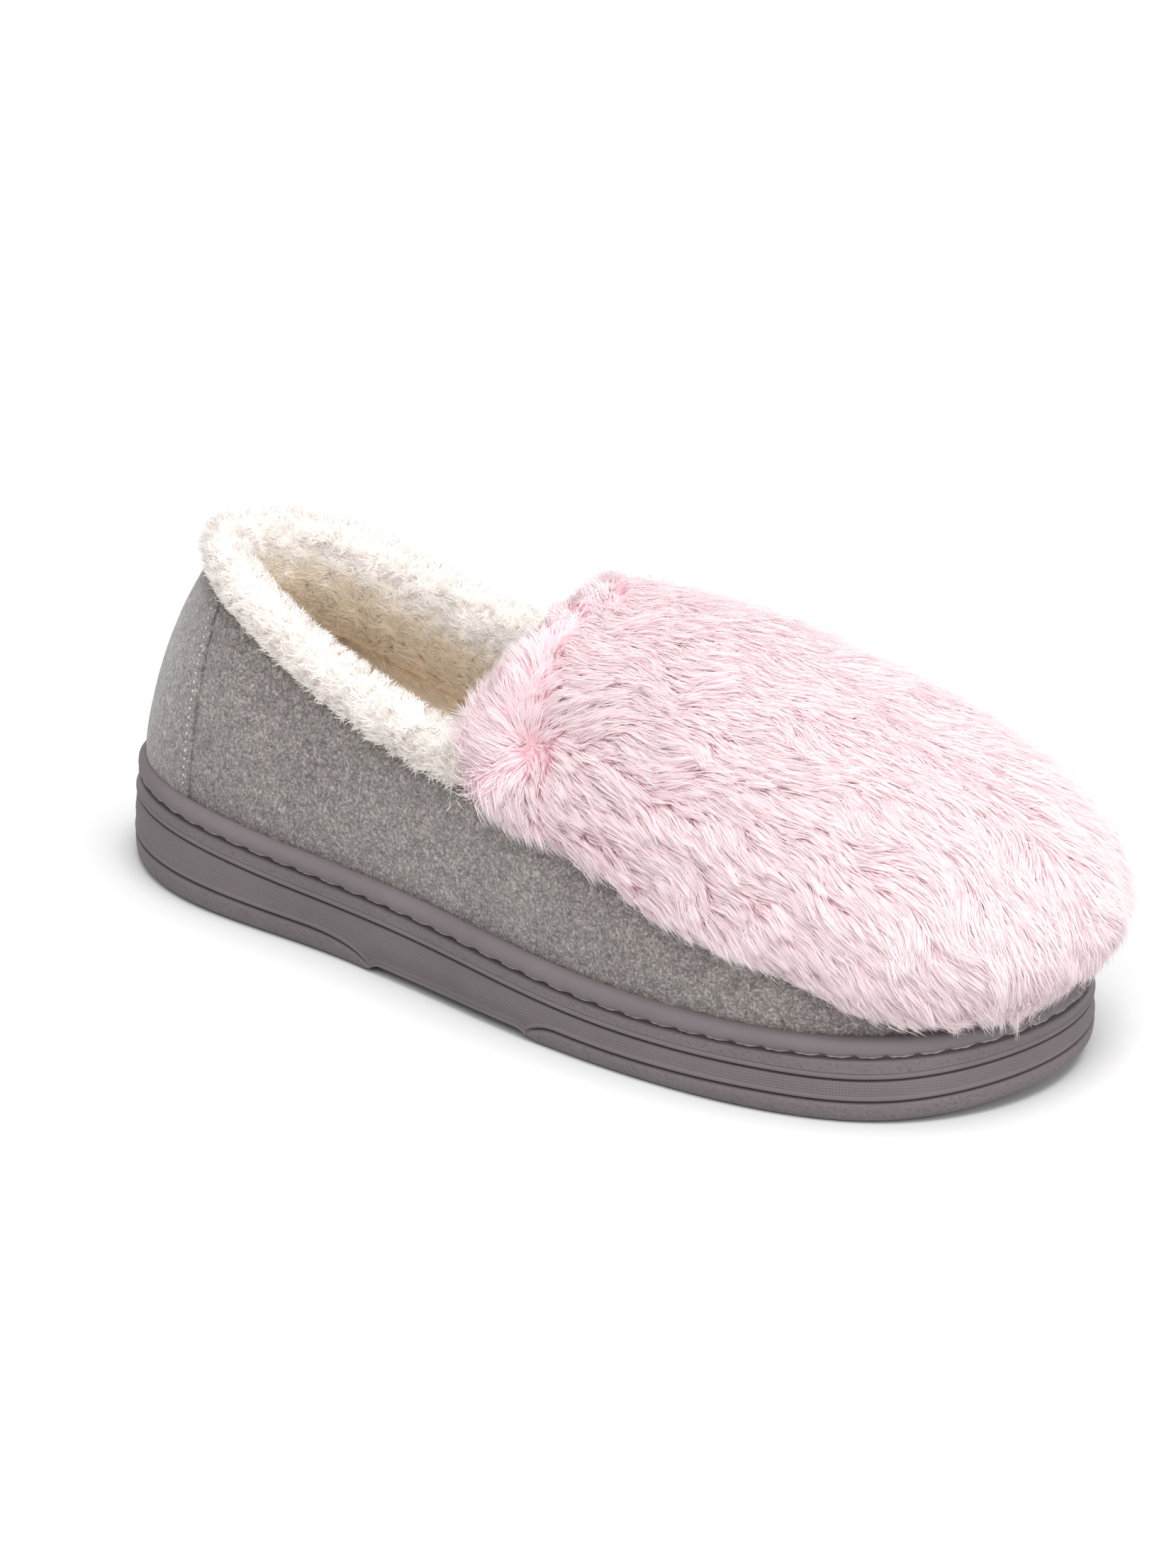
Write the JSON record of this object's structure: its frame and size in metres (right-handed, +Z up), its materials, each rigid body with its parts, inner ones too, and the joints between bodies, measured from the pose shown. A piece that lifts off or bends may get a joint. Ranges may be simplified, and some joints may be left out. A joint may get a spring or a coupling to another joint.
{
  "type": "moccasin slipper",
  "caption": "Right slip-on moccasin slipper with a long-haired fur top, fleece cuff and lining, suede sides and a thick ribbed cup sole.",
  "frame": {"origin": "middle of the footprint box, on the floor the sole stands on", "axes": "+X from heel to toe, +Y towards the inner side of the foot, +Z up"},
  "size_m": [0.278, 0.104, 0.1006],
  "materials": {
    "outsole": "matt moulded rubber with a fine leather grain",
    "insole": "short cream fleece over foam",
    "upper": "grey suede, fleece on its inner face",
    "collar_cuff": "fluffy off-white fleece",
    "fur_apron": "long pale pink fur combed towards the toe"
  },
  "bodies": {
    "root": {"outsole": "outsole", "insole": "insole", "upper": "upper", "collar_cuff": "collar_cuff", "fur_apron": "fur_apron"}
  },
  "joints": []
}
